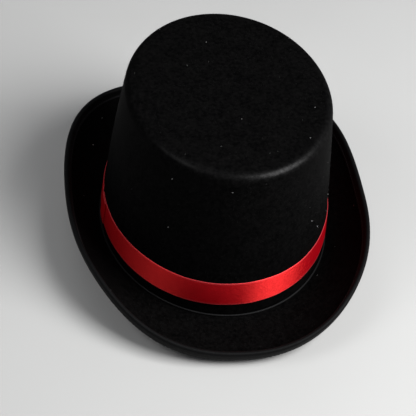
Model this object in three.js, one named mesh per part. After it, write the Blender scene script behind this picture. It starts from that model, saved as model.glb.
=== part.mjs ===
// A magician's top hat: a moulded black felt crown on a curled, wired and bound brim, with a satin band.
// Millimetres, +Z up. The face of the wearer looks along -Y, and the wearer's left is +X.
// Heights below are measured from the seat, the top face of the brim where the crown stands on it.
import * as THREE from 'three';

// ---- driving dimensions ----
const CROWN_HEIGHT = 136;
const BASE_HALF_WIDTH = 90.6;
const TIP_HALF_WIDTH = 79.5;
const EXTRA_HALF_LENGTH = 18.5;
// The wall narrows little at its foot and more towards the tip.
const TAPER_POWER = 1.45;
const TIP_EDGE_RADIUS = 6;

const BRIM_HALF_WIDTH = 118;
const BRIM_HALF_LENGTH = 156.5;
const BRIM_SQUARENESS = 2.36;
const SIDE_SLOPE = { atCrown: 0.515, atLip: 1.7 };
const END_SLOPE = { atCrown: 0, atLip: 0.19 };
// How closely the curl keeps to the sides: a power of the cosine of the angle round the hat.
const CURL_POWER = 2.75;
const LIP_RADIUS = 5.3;
const LIP_STRAIGHT = 2.3;
const LIP_LEAN = THREE.MathUtils.degToRad(80);
const SEAT_INSIDE = 3.4;
const SEAT_OUTSIDE = 2;

const CLEARANCE = 0.3;
const CROWN_FELT = 1.6;
const SIDE_STIFFENER = 0.7;
const TIP_STIFFENER = 0.8;
const TIP_STIFFENER_INSET = 5;
const STAY_TAPE = { thickness: 0.4, low: 1, high: 9 };
const LINING = { thickness: 0.4, low: 6 };
const PIPING_RADIUS = 0.7;
const SWEATBAND = { thickness: 0.9, low: 1.5, high: 33 };
// The tape over the sweatband's join: its half width is in segments.
const SEAM_TAPE = { thickness: 0.4, halfWidth: 0.45 };
const REED_RADIUS = 0.8;
const SEAM_CORD_RADIUS = 0.7;

const BRIM_FELT = 0.8;
const BRIM_CORE = 0.5;
const WIRE_RADIUS = 0.6;
const BINDING = { thickness: 0.5, leg: 6.5 };
// The fold's shoulder lies on a quarter round: this share of the way out and of the way aside.
const SHOULDER = Math.SQRT1_2;
// Points of the brim on its lip, as distances back from the rim.
const LIP_POINTS = { foot: 11, low: 8.3, high: 5.4 };

const RIBBON = { low: 10.2, width: 22, thickness: 0.5, joinSegment: 0 };
// The ribbon was drawn on a little unlevel: it rises towards the wearer's right and towards the back.
const RIBBON_RISE = { right: 2.2, back: 2.1 };
const BOW = { ribbon: 3, thickness: 0.4, height: 9 };
const BOW_KNOT = { width: 2.6, depth: 3.2, height: 3.6 };
const BOW_LOOP = { start: 1.8, reach: 5, depth: 1.3, steps: 12 };
const BOW_TAIL = { top: 2.6, length: 8, aside: 2, spread: 2.6, curve: 0.2, steps: 3 };

const SEGMENTS = 48;
const STEP = (2 * Math.PI) / SEGMENTS;
const BACK = SEGMENTS / 4;
// The wire and the reed are closed by a joiner at the back: half its length and the gap to it, in segments.
const JOIN = { half: 0.6, gap: 0.04 };

// ---- sizes worked out from them ----
const JOINER_RUN = [BACK - JOIN.half, BACK + JOIN.half];
const OPEN_RUN = [BACK + JOIN.half + JOIN.gap, BACK + SEGMENTS - JOIN.half - JOIN.gap];
const INSET = stackInsets();
const BRIM_THICKNESS = 2 * BRIM_FELT + BRIM_CORE + 2 * CLEARANCE;
const CORE_DEPTH = BRIM_FELT + CLEARANCE;
const UNDER_DEPTH = CORE_DEPTH + BRIM_CORE + CLEARANCE;
const TIP_STIFFENER_TOP = CROWN_HEIGHT - CROWN_FELT - CLEARANCE;
const LINING_TIP_TOP = TIP_STIFFENER_TOP - TIP_STIFFENER - CLEARANCE;
const LINING_SIDE_TOP = LINING_TIP_TOP - LINING.thickness - CLEARANCE;
const SEAT_HEIGHT = BRIM_THICKNESS;

/** How far inside the crown's outer face each inner layer starts. */
function stackInsets() {
  const sideStiffener = CROWN_FELT + CLEARANCE;
  const stayTape = sideStiffener + SIDE_STIFFENER + CLEARANCE;
  const lining = stayTape + STAY_TAPE.thickness + CLEARANCE;
  const sweatband = lining + LINING.thickness + CLEARANCE;
  const seamTape = sweatband + SWEATBAND.thickness + CLEARANCE;
  return { sideStiffener, stayTape, lining, sweatband, seamTape };
}

// ---- closed bodies from sections ----
/** A closed geometry from points and triangles, turned so that its faces point out. */
function bodyFrom(points, triangles) {
  let volume = 0;
  for (const [a, b, c] of triangles) {
    volume += points[a].dot(new THREE.Vector3().crossVectors(points[b], points[c]));
  }
  const outward = volume >= 0 ? triangles : triangles.map(([a, b, c]) => [a, c, b]);
  const geometry = new THREE.BufferGeometry();
  const coordinates = points.flatMap((p) => [p.x, p.y, p.z]);
  geometry.setAttribute('position', new THREE.Float32BufferAttribute(coordinates, 3));
  geometry.setIndex(outward.flat());
  geometry.computeVertexNormals();
  return geometry;
}

/** Two triangles over four corners, split along the higher diagonal, as on every layer beside it. */
function quad(points, a, b, c, d) {
  const isOtherHigher = points[b].z + points[d].z > points[a].z + points[c].z + 1e-6;
  return isOtherHigher ? [[a, b, d], [b, c, d]] : [[a, b, c], [a, c, d]];
}

/** Joins closed sections of equal size; a loop meets its first section again, a strip gets two end caps. */
function joinSections(sections, isLoop) {
  const size = sections[0].length;
  const points = sections.flat();
  const triangles = [];
  const spans = isLoop ? sections.length : sections.length - 1;
  for (let i = 0; i < spans; i += 1) {
    const here = i * size;
    const next = ((i + 1) % sections.length) * size;
    for (let j = 0; j < size; j += 1) {
      const k = (j + 1) % size;
      triangles.push(...quad(points, here + j, next + j, next + k, here + k));
    }
  }
  if (!isLoop) {
    const last = (sections.length - 1) * size;
    for (let j = 1; j < size - 1; j += 1) {
      triangles.push([0, j, j + 1], [last, last + j + 1, last + j]);
    }
  }
  return bodyFrom(points, triangles);
}

/** A body all round the hat: sectionAt(segment) gives its closed section at each of the segments. */
function ringBody(sectionAt) {
  return joinSections(Array.from({ length: SEGMENTS }, (_, segment) => sectionAt(segment)), true);
}

/** A body over the middle of the hat: the chain at each segment runs from one axis point to the other. */
function domeBody(chainAt, firstHeight, lastHeight) {
  const chains = Array.from({ length: SEGMENTS }, (_, segment) => chainAt(segment));
  const size = chains[0].length;
  const points = chains.flat();
  const first = points.push(new THREE.Vector3(0, 0, firstHeight)) - 1;
  const last = points.push(new THREE.Vector3(0, 0, lastHeight)) - 1;
  const triangles = [];
  for (let i = 0; i < SEGMENTS; i += 1) {
    const here = i * size;
    const next = ((i + 1) % SEGMENTS) * size;
    triangles.push([first, next, here], [last, here + size - 1, next + size - 1]);
    for (let j = 0; j < size - 1; j += 1) {
      triangles.push(...quad(points, here + j, next + j, next + j + 1, here + j + 1));
    }
  }
  return bodyFrom(points, triangles);
}

// ---- the crown's oval ----
/** A point of the crown's oval at a height, that far inside its outer face. */
function crownPoint(segment, height, inset) {
  const rise = Math.min(Math.max(height / CROWN_HEIGHT, 0), 1);
  const halfWidth = TIP_HALF_WIDTH + (BASE_HALF_WIDTH - TIP_HALF_WIDTH) * (1 - rise ** TAPER_POWER) - inset;
  const angle = segment * STEP;
  return new THREE.Vector3(
    halfWidth * Math.cos(angle),
    (halfWidth + EXTRA_HALF_LENGTH) * Math.sin(angle),
    height,
  );
}

/** Heights spread evenly from low to high. */
function levels(low, high, count) {
  return Array.from({ length: count + 1 }, (_, i) => low + ((high - low) * i) / count);
}

/** The closed section of a layer on the crown's wall. */
function wallSection(segment, inset, thickness, low, high, count) {
  const heights = levels(low, high, count);
  const outer = heights.map((height) => crownPoint(segment, height, inset));
  const inner = heights.map((height) => crownPoint(segment, height, inset + thickness));
  return [...outer, ...inner.reverse()];
}

/** A layer round the crown's wall. */
function wallLayer(inset, thickness, low, high, count) {
  return ringBody((segment) => wallSection(segment, inset, thickness, low, high, count));
}

/** A flat oval disc that fills the crown at a height. */
function tipDisc(inset, thickness, top) {
  const heights = [top, top - thickness];
  const chainAt = (segment) => heights.map((height) => crownPoint(segment, height, inset));
  return domeBody(chainAt, top, top - thickness);
}

/** The two ends of an open run round the hat, with every whole segment between them. */
function placesBetween(first, last) {
  const places = [first];
  for (let segment = Math.floor(first) + 1; segment < last; segment += 1) places.push(segment);
  return [...places, last];
}

/** A round cord that follows the crown's wall, all the way round or open between two places. */
function wallCord(inset, height, radius, sides, openRun) {
  const sectionAt = (place) => Array.from({ length: sides }, (_, k) => {
    const turn = (2 * Math.PI * k) / sides;
    const point = crownPoint(place, height, inset - radius * Math.cos(turn));
    return point.setZ(height + radius * Math.sin(turn));
  });
  return openRun ? joinSections(placesBetween(...openRun).map(sectionAt), false) : ringBody(sectionAt);
}

// ---- crown ----
function crownFelt() {
  const quarter = [0, 30, 60, 90].map(THREE.MathUtils.degToRad);
  const edgeCentre = CROWN_HEIGHT - TIP_EDGE_RADIUS;
  const wall = levels(CLEARANCE, edgeCentre, 5).slice(0, -1);
  const chainAt = (segment) => {
    const face = (inset) => {
      const radius = TIP_EDGE_RADIUS - inset;
      const side = wall.map((height) => crownPoint(segment, height, inset));
      const edge = quarter.map((turn) => crownPoint(
        segment,
        edgeCentre + radius * Math.sin(turn),
        TIP_EDGE_RADIUS - radius * Math.cos(turn),
      ));
      return [...side, ...edge];
    };
    return [...face(0).reverse(), ...face(CROWN_FELT)];
  };
  return domeBody(chainAt, CROWN_HEIGHT, CROWN_HEIGHT - CROWN_FELT);
}

function crownSideStiffener() {
  const top = CROWN_HEIGHT - TIP_EDGE_RADIUS - CLEARANCE;
  return wallLayer(INSET.sideStiffener, SIDE_STIFFENER, CLEARANCE, top, 4);
}

function crownTipStiffener() {
  return tipDisc(TIP_STIFFENER_INSET, TIP_STIFFENER, TIP_STIFFENER_TOP);
}

function crownStayTape() {
  return wallLayer(INSET.stayTape, STAY_TAPE.thickness, STAY_TAPE.low, STAY_TAPE.high, 1);
}

function crownSeamCord() {
  const outside = -(CLEARANCE + SEAM_CORD_RADIUS);
  return wallCord(outside, CLEARANCE + SEAM_CORD_RADIUS, SEAM_CORD_RADIUS, 6);
}

// ---- brim ----
/** The brim's top face at a segment: fine points from inside the crown to the rim, with their normals. */
function brimPath(segment) {
  const angle = segment * STEP;
  const foot = crownPoint(segment, 0, 0);
  const across = Math.abs(Math.cos(angle));
  const lengthways = Math.abs(Math.sin(angle));
  const squareness = (across ** BRIM_SQUARENESS + lengthways ** BRIM_SQUARENESS) ** (-1 / BRIM_SQUARENESS);
  const rim = new THREE.Vector3(BRIM_HALF_WIDTH * Math.cos(angle), BRIM_HALF_LENGTH * Math.sin(angle), 0);
  const outward = rim.multiplyScalar(squareness).sub(foot);
  const reach = outward.length();
  outward.normalize();
  const sideShare = across ** CURL_POWER;
  const startSlope = THREE.MathUtils.lerp(END_SLOPE.atCrown, SIDE_SLOPE.atCrown, sideShare);
  const lipSlope = THREE.MathUtils.lerp(END_SLOPE.atLip, SIDE_SLOPE.atLip, sideShare);
  const lipStart = Math.atan(lipSlope);
  const curveReach = reach - SEAT_OUTSIDE - LIP_STRAIGHT * Math.cos(LIP_LEAN)
    - LIP_RADIUS * (Math.sin(LIP_LEAN) - Math.sin(lipStart));
  const bend = (lipSlope - startSlope) / (2 * curveReach);
  const outline = [[-SEAT_INSIDE, 0]];
  const steps = 24;
  for (let i = 0; i <= steps; i += 1) {
    const out = (curveReach * i) / steps;
    outline.push([SEAT_OUTSIDE + out, startSlope * out + bend * out * out]);
  }
  const [lipOut, lipUp] = outline[outline.length - 1];
  for (let i = 1; i <= steps; i += 1) {
    const turn = lipStart + ((LIP_LEAN - lipStart) * i) / steps;
    outline.push([
      lipOut + LIP_RADIUS * (Math.sin(turn) - Math.sin(lipStart)),
      lipUp + LIP_RADIUS * (Math.cos(lipStart) - Math.cos(turn)),
    ]);
  }
  const [endOut, endUp] = outline[outline.length - 1];
  outline.push([endOut + LIP_STRAIGHT * Math.cos(LIP_LEAN), endUp + LIP_STRAIGHT * Math.sin(LIP_LEAN)]);
  return { foot, outward, outline, lengths: runningLengths(outline) };
}

function runningLengths(outline) {
  const lengths = [0];
  for (let i = 1; i < outline.length; i += 1) {
    const [a, b] = [outline[i - 1], outline[i]];
    lengths.push(lengths[i - 1] + Math.hypot(b[0] - a[0], b[1] - a[1]));
  }
  return lengths;
}

/** A point a distance along the brim's top face and a depth below it; past the rim it runs straight on. */
function brimPoint(path, along, depth) {
  const { foot, outward, outline, lengths } = path;
  let i = 1;
  while (i < outline.length - 1 && lengths[i] < along) i += 1;
  const [a, b] = [outline[i - 1], outline[i]];
  const span = lengths[i] - lengths[i - 1];
  const share = (along - lengths[i - 1]) / span;
  const direction = [(b[0] - a[0]) / span, (b[1] - a[1]) / span];
  const out = a[0] + (b[0] - a[0]) * share + direction[1] * depth;
  const up = a[1] + (b[1] - a[1]) * share - direction[0] * depth;
  return foot.clone().addScaledVector(outward, out).setZ(up);
}

/** Distances along the brim where its layers have points: the seat, the curve, then the turned-up lip. */
function brimStations(path) {
  const total = path.lengths[path.lengths.length - 1];
  const seatEnd = SEAT_INSIDE + SEAT_OUTSIDE;
  const curve = levels(seatEnd, total - LIP_POINTS.foot, 4);
  return [0, ...curve, total - LIP_POINTS.low, total - LIP_POINTS.high, total - LIP_STRAIGHT, total];
}

/** A layer of the brim between two depths, leaving out a number of its last stations. */
function brimLayer(depth, thickness, stationsLeftOut) {
  return ringBody((segment) => {
    const path = brimPath(segment);
    const stations = brimStations(path);
    stations.length -= stationsLeftOut;
    const top = stations.map((along) => brimPoint(path, along, depth));
    const under = stations.map((along) => brimPoint(path, along, depth + thickness));
    return [...top, ...under.reverse()];
  });
}

/** The wire in the rim, or the ferrule that closes it: a rod past the felt's edge, between its faces. */
function rimRod(radius, sides, first, last) {
  const beyond = CLEARANCE + WIRE_RADIUS;
  const sectionAt = (place) => {
    const path = brimPath(place);
    const total = path.lengths[path.lengths.length - 1];
    return Array.from({ length: sides }, (_, k) => {
      const turn = (2 * Math.PI * k) / sides;
      const along = total + beyond + radius * Math.cos(turn);
      return brimPoint(path, along, BRIM_THICKNESS / 2 + radius * Math.sin(turn));
    });
  };
  return joinSections(placesBetween(first, last).map(sectionAt), false);
}

/** The ribbon folded over the rim: a leg down each face, round the wire between them. */
function brimBinding() {
  return ringBody((segment) => {
    const path = brimPath(segment);
    const total = path.lengths[path.lengths.length - 1];
    const leg = [-BINDING.leg, -LIP_POINTS.high, -LIP_STRAIGHT, 0];
    const fold = (gap) => {
      const crest = 2 * WIRE_RADIUS + CLEARANCE + gap;
      const away = BRIM_THICKNESS / 2 + gap;
      const shoulder = [crest * SHOULDER, away * SHOULDER];
      const half = [...leg.map((along) => [along, away]), shoulder];
      return [
        ...half.map(([along, aside]) => [along, BRIM_THICKNESS / 2 - aside]),
        [crest, BRIM_THICKNESS / 2],
        ...half.reverse().map(([along, aside]) => [along, BRIM_THICKNESS / 2 + aside]),
      ];
    };
    const outer = fold(CLEARANCE + BINDING.thickness);
    const inner = fold(CLEARANCE).reverse();
    return [...outer, ...inner].map(([along, depth]) => brimPoint(path, total + along, depth));
  });
}

// ---- band ----
/** How far the ribbon lies above its own lowest mark, at a segment. */
function ribbonRise(segment) {
  return RIBBON_RISE.back * Math.sin(segment * STEP) - RIBBON_RISE.right * Math.cos(segment * STEP);
}

/** One length of ribbon round the crown, its end lapped over its start at the wearer's left. */
function bandRibbon() {
  const first = RIBBON.joinSegment;
  const last = first + SEGMENTS + 1;
  const lift = RIBBON.thickness + CLEARANCE;
  const sections = [];
  for (let segment = first; segment <= last; segment += 1) {
    const isLapped = segment >= first + SEGMENTS;
    const outside = -(CLEARANCE + RIBBON.thickness + (isLapped ? lift : 0));
    const low = RIBBON.low + ribbonRise(segment);
    sections.push(wallSection(segment, outside, RIBBON.thickness, low, low + RIBBON.width, 1));
  }
  return joinSections(sections, false);
}

// ---- lining and sweatband ----
function liningSide() {
  return wallLayer(INSET.lining, LINING.thickness, LINING.low, LINING_SIDE_TOP, 4);
}

function liningTip() {
  return tipDisc(INSET.lining, LINING.thickness, LINING_TIP_TOP);
}

function liningPiping() {
  const inset = INSET.lining + LINING.thickness + CLEARANCE + PIPING_RADIUS;
  return wallCord(inset, LINING_SIDE_TOP - PIPING_RADIUS, PIPING_RADIUS, 5);
}

function sweatband() {
  return wallLayer(INSET.sweatband, SWEATBAND.thickness, SWEATBAND.low, SWEATBAND.high, 2);
}

/** The reed in the sweatband's lower edge, or the sleeve that joins its ends: an open run of cord. */
function sweatbandReed(first, last) {
  const inset = INSET.sweatband + SWEATBAND.thickness / 2;
  return wallCord(inset, SWEATBAND.low - CLEARANCE - REED_RADIUS, REED_RADIUS, 6, [first, last]);
}

/** The tape over the sweatband's join, in the middle of the back. */
function sweatbandSeamTape() {
  const { halfWidth, thickness } = SEAM_TAPE;
  const sections = [-halfWidth, 0, halfWidth].map((offset) => {
    const section = (inset) => [SWEATBAND.low, SWEATBAND.high].map((height) => {
      const middle = crownPoint(BACK, height, inset);
      return middle.lerp(crownPoint(BACK + Math.sign(offset), height, inset), Math.abs(offset));
    });
    return [...section(INSET.seamTape), ...section(INSET.seamTape + thickness).reverse()];
  });
  return joinSections(sections, false);
}

// ---- the small bow on the sweatband's join: its own frame has +X across, +Y into the hat, +Z up ----
/** A flat ribbon along a path in the bow's XY plane, standing on its edge. */
function bowRibbon(path, isLoop) {
  const sections = path.map(([x, y, z], i) => {
    const before = path[(i - 1 + path.length) % path.length];
    const after = path[(i + 1) % path.length];
    const from = !isLoop && i === 0 ? path[0] : before;
    const to = !isLoop && i === path.length - 1 ? path[i] : after;
    const along = new THREE.Vector3(to[0] - from[0], to[1] - from[1], to[2] - from[2]).normalize();
    const sideways = new THREE.Vector3(along.z, 0, -along.x).normalize();
    const across = isLoop ? new THREE.Vector3(0, 0, 1) : sideways;
    const through = new THREE.Vector3().crossVectors(across, along).normalize();
    const centre = new THREE.Vector3(x, y, z);
    return [[1, 1], [1, -1], [-1, -1], [-1, 1]].map(([a, b]) => centre.clone()
      .addScaledVector(across, (a * BOW.ribbon) / 2)
      .addScaledVector(through, (b * BOW.thickness) / 2));
  });
  return joinSections(sections, isLoop);
}

function bowLoop(side) {
  const path = Array.from({ length: BOW_LOOP.steps }, (_, i) => {
    const turn = (2 * Math.PI * i) / BOW_LOOP.steps;
    const x = BOW_LOOP.start + BOW_LOOP.reach * (1 - Math.cos(turn));
    return [side * x, BOW_LOOP.depth * Math.sin(turn), 0];
  });
  return bowRibbon(path, true);
}

function bowTail(side) {
  const path = Array.from({ length: BOW_TAIL.steps + 1 }, (_, i) => {
    const share = i / BOW_TAIL.steps;
    const x = BOW_TAIL.aside + BOW_TAIL.spread * share;
    const drop = BOW_TAIL.top + (BOW_TAIL.length - BOW_TAIL.top) * share;
    return [side * x, BOW_TAIL.curve * Math.sin(Math.PI * share), -drop];
  });
  return bowRibbon(path, false);
}

function bowKnot() {
  return new THREE.BoxGeometry(BOW_KNOT.width, BOW_KNOT.depth, BOW_KNOT.height);
}

// ---- finishes ----
function finish(color, roughness, metalness = 0) {
  return new THREE.MeshStandardMaterial({ color, roughness, metalness });
}

const FELT = [0x0a0a0b, 0.95];
const BUCKRAM = [0x4a4640, 0.9];
const RED_SATIN = [0x9c0714, 0.35];
const BLACK_SATIN = [0x111114, 0.4];
const GROSGRAIN = [0x16161a, 0.55];
const LEATHER = [0x17120f, 0.5];
const STEEL = [0x8c8f92, 0.35, 0.9];

function named(name, geometry, look) {
  const mesh = new THREE.Mesh(geometry, finish(...look));
  mesh.name = name;
  return mesh;
}

// ---- assembly ----
function crown() {
  const group = new THREE.Group();
  group.add(
    named('crown_felt', crownFelt(), FELT),
    named('crown_side_stiffener', crownSideStiffener(), BUCKRAM),
    named('crown_tip_stiffener', crownTipStiffener(), BUCKRAM),
    named('crown_stay_tape', crownStayTape(), GROSGRAIN),
    named('crown_seam_cord', crownSeamCord(), GROSGRAIN),
    named('band_ribbon', bandRibbon(), RED_SATIN),
  );
  return group;
}

function brim() {
  const group = new THREE.Group();
  group.add(
    named('brim_top_felt', brimLayer(0, BRIM_FELT, 0), FELT),
    named('brim_core', brimLayer(CORE_DEPTH, BRIM_CORE, 1), BUCKRAM),
    named('brim_under_felt', brimLayer(UNDER_DEPTH, BRIM_FELT, 0), FELT),
    named('brim_wire', rimRod(WIRE_RADIUS, 6, ...OPEN_RUN), STEEL),
    named('brim_wire_joiner', rimRod(WIRE_RADIUS, 6, ...JOINER_RUN), STEEL),
    named('brim_binding', brimBinding(), GROSGRAIN),
  );
  return group;
}

function inside() {
  const group = new THREE.Group();
  group.add(
    named('lining_side', liningSide(), BLACK_SATIN),
    named('lining_tip', liningTip(), BLACK_SATIN),
    named('lining_piping', liningPiping(), BLACK_SATIN),
    named('sweatband', sweatband(), LEATHER),
    named('sweatband_seam_tape', sweatbandSeamTape(), GROSGRAIN),
    named('sweatband_reed', sweatbandReed(...OPEN_RUN), GROSGRAIN),
    named('sweatband_reed_joiner', sweatbandReed(...JOINER_RUN), STEEL),
  );
  return group;
}

function bow() {
  const group = new THREE.Group();
  const face = crownPoint(BACK, BOW.height, INSET.seamTape + SEAM_TAPE.thickness).y;
  group.position.set(0, face - CLEARANCE - BOW_KNOT.depth / 2 - CLEARANCE, BOW.height);
  group.rotation.z = Math.PI;
  group.add(
    named('bow_knot', bowKnot(), BLACK_SATIN),
    named('bow_loop_left', bowLoop(-1), BLACK_SATIN),
    named('bow_loop_right', bowLoop(1), BLACK_SATIN),
    named('bow_tail_left', bowTail(-1), BLACK_SATIN),
    named('bow_tail_right', bowTail(1), BLACK_SATIN),
  );
  return group;
}

const hat = new THREE.Group();
hat.position.z = SEAT_HEIGHT;
hat.add(crown(), brim(), inside(), bow());

export default hat;
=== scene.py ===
# %% [markdown]
# # A magician's top hat
#
# The hat is moulded from black wool felt. It stands about 139 mm high on a curled brim, with a red satin
# ribbon round the foot of the crown. The crown, the brim and every inner layer follow one rule: an oval that
# narrows with height. So each piece here is made by the same few lofting helpers, fed with its own section.
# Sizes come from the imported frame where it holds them, and the rest are named in millimetres.

# %% Load the fixed frame
import math

import bpy
import numpy as np
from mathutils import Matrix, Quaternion, Vector


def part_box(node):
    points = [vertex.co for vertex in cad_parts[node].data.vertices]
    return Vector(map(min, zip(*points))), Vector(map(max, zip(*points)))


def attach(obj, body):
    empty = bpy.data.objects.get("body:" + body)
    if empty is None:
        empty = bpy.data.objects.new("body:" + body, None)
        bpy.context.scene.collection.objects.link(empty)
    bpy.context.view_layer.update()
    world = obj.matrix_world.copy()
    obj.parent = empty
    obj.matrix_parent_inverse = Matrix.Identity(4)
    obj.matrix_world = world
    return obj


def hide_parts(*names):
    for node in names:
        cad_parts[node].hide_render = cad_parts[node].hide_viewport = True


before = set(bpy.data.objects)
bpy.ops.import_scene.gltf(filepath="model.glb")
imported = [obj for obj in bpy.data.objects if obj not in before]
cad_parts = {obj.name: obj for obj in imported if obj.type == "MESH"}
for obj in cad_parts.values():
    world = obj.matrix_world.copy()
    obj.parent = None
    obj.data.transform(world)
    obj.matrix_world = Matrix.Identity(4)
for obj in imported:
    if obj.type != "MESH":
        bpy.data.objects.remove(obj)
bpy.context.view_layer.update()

MM = 0.001

# %% [markdown]
# ## The oval of the crown
#
# A head is longer than it is wide, so the crown is an oval, not a circle. It is widest at its foot, where it
# stands almost upright, and it narrows towards the tip. One function gives any point of it, a stated
# distance inside its outer face, and every layer of the hat is cut from that function.

# %% The crown's oval
CLEARANCE = 0.3 * MM
TIP_HALF_WIDTH = 79.5 * MM
EXTRA_HALF_LENGTH = 18.5 * MM
TAPER_POWER = 1.45
TIP_EDGE_RADIUS = 6 * MM
CROWN_FELT = 1.6 * MM

crown_low, crown_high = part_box("crown_felt")
SEAT = crown_low.z - CLEARANCE
CROWN_HEIGHT = crown_high.z - SEAT
foot_share = 1 - (CLEARANCE / CROWN_HEIGHT) ** TAPER_POWER
BASE_HALF_WIDTH = TIP_HALF_WIDTH + (crown_high.x - TIP_HALF_WIDTH) / foot_share


def crown_points(angle, height, inset):
    """Points of the crown's oval at heights above the seat, each so far inside its outer face."""
    rise = np.clip(height / CROWN_HEIGHT, 0, 1)
    half = TIP_HALF_WIDTH + (BASE_HALF_WIDTH - TIP_HALF_WIDTH) * (1 - rise ** TAPER_POWER) - inset
    x = half * np.cos(angle)
    y = (half + EXTRA_HALF_LENGTH) * np.sin(angle)
    return np.stack(np.broadcast_arrays(x, y, height), -1)


print("crown height", round(CROWN_HEIGHT / MM, 1), "half width at the foot", round(BASE_HALF_WIDTH / MM, 1))

# %% [markdown]
# ## The camera
#
# The hat is looked at from behind and above, a little from the wearer's left, as if the head were tipped to
# one side. The camera is set up first, aimed at the ribbon, and rolled by the same lean.

# %% The camera
CAMERA_TURN = math.radians(12.02)
CAMERA_RISE = math.radians(43.56)
CAMERA_ROLL = math.radians(7.6)
CAMERA_DISTANCE = 1.5
CAMERA_LENS = 159.7
CAMERA_SIDE_STEP = 4.5 * MM
RIBBON_LOW = 10.2 * MM


def place_camera():
    back = Vector((
        math.sin(CAMERA_TURN) * math.cos(CAMERA_RISE),
        math.cos(CAMERA_TURN) * math.cos(CAMERA_RISE),
        math.sin(CAMERA_RISE),
    ))
    rolled = Quaternion(back, CAMERA_ROLL) @ back.to_track_quat("Z", "Y")
    right = rolled @ Vector((1, 0, 0))
    aim = Vector((0, 0, SEAT + RIBBON_LOW)) - right * CAMERA_SIDE_STEP
    camera = bpy.data.objects.new("camera", bpy.data.cameras.new("camera"))
    camera.data.lens = CAMERA_LENS
    camera.data.sensor_width = 36
    camera.location = aim + back * CAMERA_DISTANCE
    camera.rotation_mode = "QUATERNION"
    camera.rotation_quaternion = rolled
    bpy.context.scene.collection.objects.link(camera)
    bpy.context.scene.camera = camera


place_camera()

# %% [markdown]
# ## Shaped by hand
#
# A felt hat is steamed and pulled over a block, so no line on it is perfectly even. A small, smooth
# unevenness is written as one field in space. Every layer goes through the same field, so the layers stay on
# each other and nothing cuts through its neighbour.

# %% The unevenness that every layer shares
WALL_UNEVENNESS = 0.35 * MM
RIM_UNEVENNESS = 0.9 * MM


def shaped_by_hand(points):
    """The points with the hat's own small unevenness added: the wall's bulges and the rim's waves."""
    shaped = points.copy()
    x, y, height = points[..., 0], points[..., 1], points[..., 2]
    angle = np.arctan2(y / (BASE_HALF_WIDTH + EXTRA_HALF_LENGTH), x / BASE_HALF_WIDTH)
    reach = np.hypot(x / BASE_HALF_WIDTH, y / (BASE_HALF_WIDTH + EXTRA_HALF_LENGTH))
    rise = np.clip(height / CROWN_HEIGHT, 0, 1)
    bulge = np.sin(3 * angle + 1.1 + 2 * rise) + 0.5 * np.sin(7 * angle - 3 * rise)
    swell = 1 + WALL_UNEVENNESS / BASE_HALF_WIDTH * bulge * np.sin(np.pi * rise)
    rim_share = np.clip((reach - 1.06) / 0.3, 0, 1) ** 1.5
    wave = 0.5 * np.sin(3 * angle + 0.7) + 0.35 * np.sin(5 * angle + 2.1) + 0.2 * np.sin(11 * angle)
    shaped[..., 0] = x * swell
    shaped[..., 1] = y * swell
    shaped[..., 2] = height + RIM_UNEVENNESS * rim_share * wave + SEAT
    return shaped


# %% [markdown]
# ## Lofting
#
# A ring piece is a list of closed sections, one for each angle round the hat. The sections are joined by
# quads; an open strip also gets a cap at each end. A dome piece runs from the axis, over the edge, and back
# to the axis, so its two ends close in a fan. Each piece carries a UV map in metres, along and across the
# cloth, so that ribs and floats run with the cloth as they do on the real hat.

# %% Meshes from sections
ROUND_STEPS = 256
AROUND = np.linspace(0, 2 * np.pi, ROUND_STEPS, endpoint=False)


def link_mesh(name, mesh):
    piece = bpy.data.objects.new(name, mesh)
    bpy.context.scene.collection.objects.link(piece)
    return piece


def signed_volume(points, faces):
    total = 0.0
    for face in faces:
        corners = points[list(face)]
        for i in range(1, len(corners) - 1):
            total += float(np.dot(corners[0], np.cross(corners[i], corners[i + 1])))
    return total


def loft(name, sections, is_loop=True, sharp=40):
    """A closed piece from sections, an array of shape (places round the hat, points of a section, 3)."""
    places, size = sections.shape[:2]
    points = sections.reshape(-1, 3)
    spans = places if is_loop else places - 1
    across = np.concatenate([[0], np.cumsum(np.linalg.norm(np.diff(sections[0], axis=0), axis=1))])
    across_total = across[-1] + np.linalg.norm(sections[0, -1] - sections[0, 0])
    along_steps = np.linalg.norm(np.roll(sections, -1, 0) - sections, axis=2).mean(1)
    along = np.concatenate([[0], np.cumsum(along_steps)])
    faces, cloth = [], []
    for i in range(spans):
        here, following = i * size, ((i + 1) % places) * size
        for j in range(size):
            k = (j + 1) % size
            v0, v1 = across[j], across[k] if k else across_total
            faces.append((here + j, following + j, following + k, here + k))
            cloth.append(((along[i], v0), (along[i + 1], v0), (along[i + 1], v1), (along[i], v1)))
    if not is_loop:
        for start, order in ((0, 1), ((places - 1) * size, -1)):
            cap = tuple(range(start, start + size))[::order]
            faces.append(cap)
            cloth.append(tuple((along[start // size], across[corner - start]) for corner in cap))
    return finish_mesh(name, points, faces, cloth, sharp)


def dome(name, chains, first, last, sharp=40):
    """A closed piece over the middle of the hat: chains run from the first axis point to the last one."""
    places, size = chains.shape[:2]
    points = np.concatenate([chains.reshape(-1, 3), [first, last]])
    top, bottom = places * size, places * size + 1
    faces = []
    for i in range(places):
        here, following = i * size, ((i + 1) % places) * size
        faces.append((top, following, here))
        faces.append((bottom, here + size - 1, following + size - 1))
        for j in range(size - 1):
            faces.append((here + j, following + j, following + j + 1, here + j + 1))
    cloth = [tuple((points[corner][0], points[corner][1]) for corner in face) for face in faces]
    return finish_mesh(name, points, faces, cloth, sharp)


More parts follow.
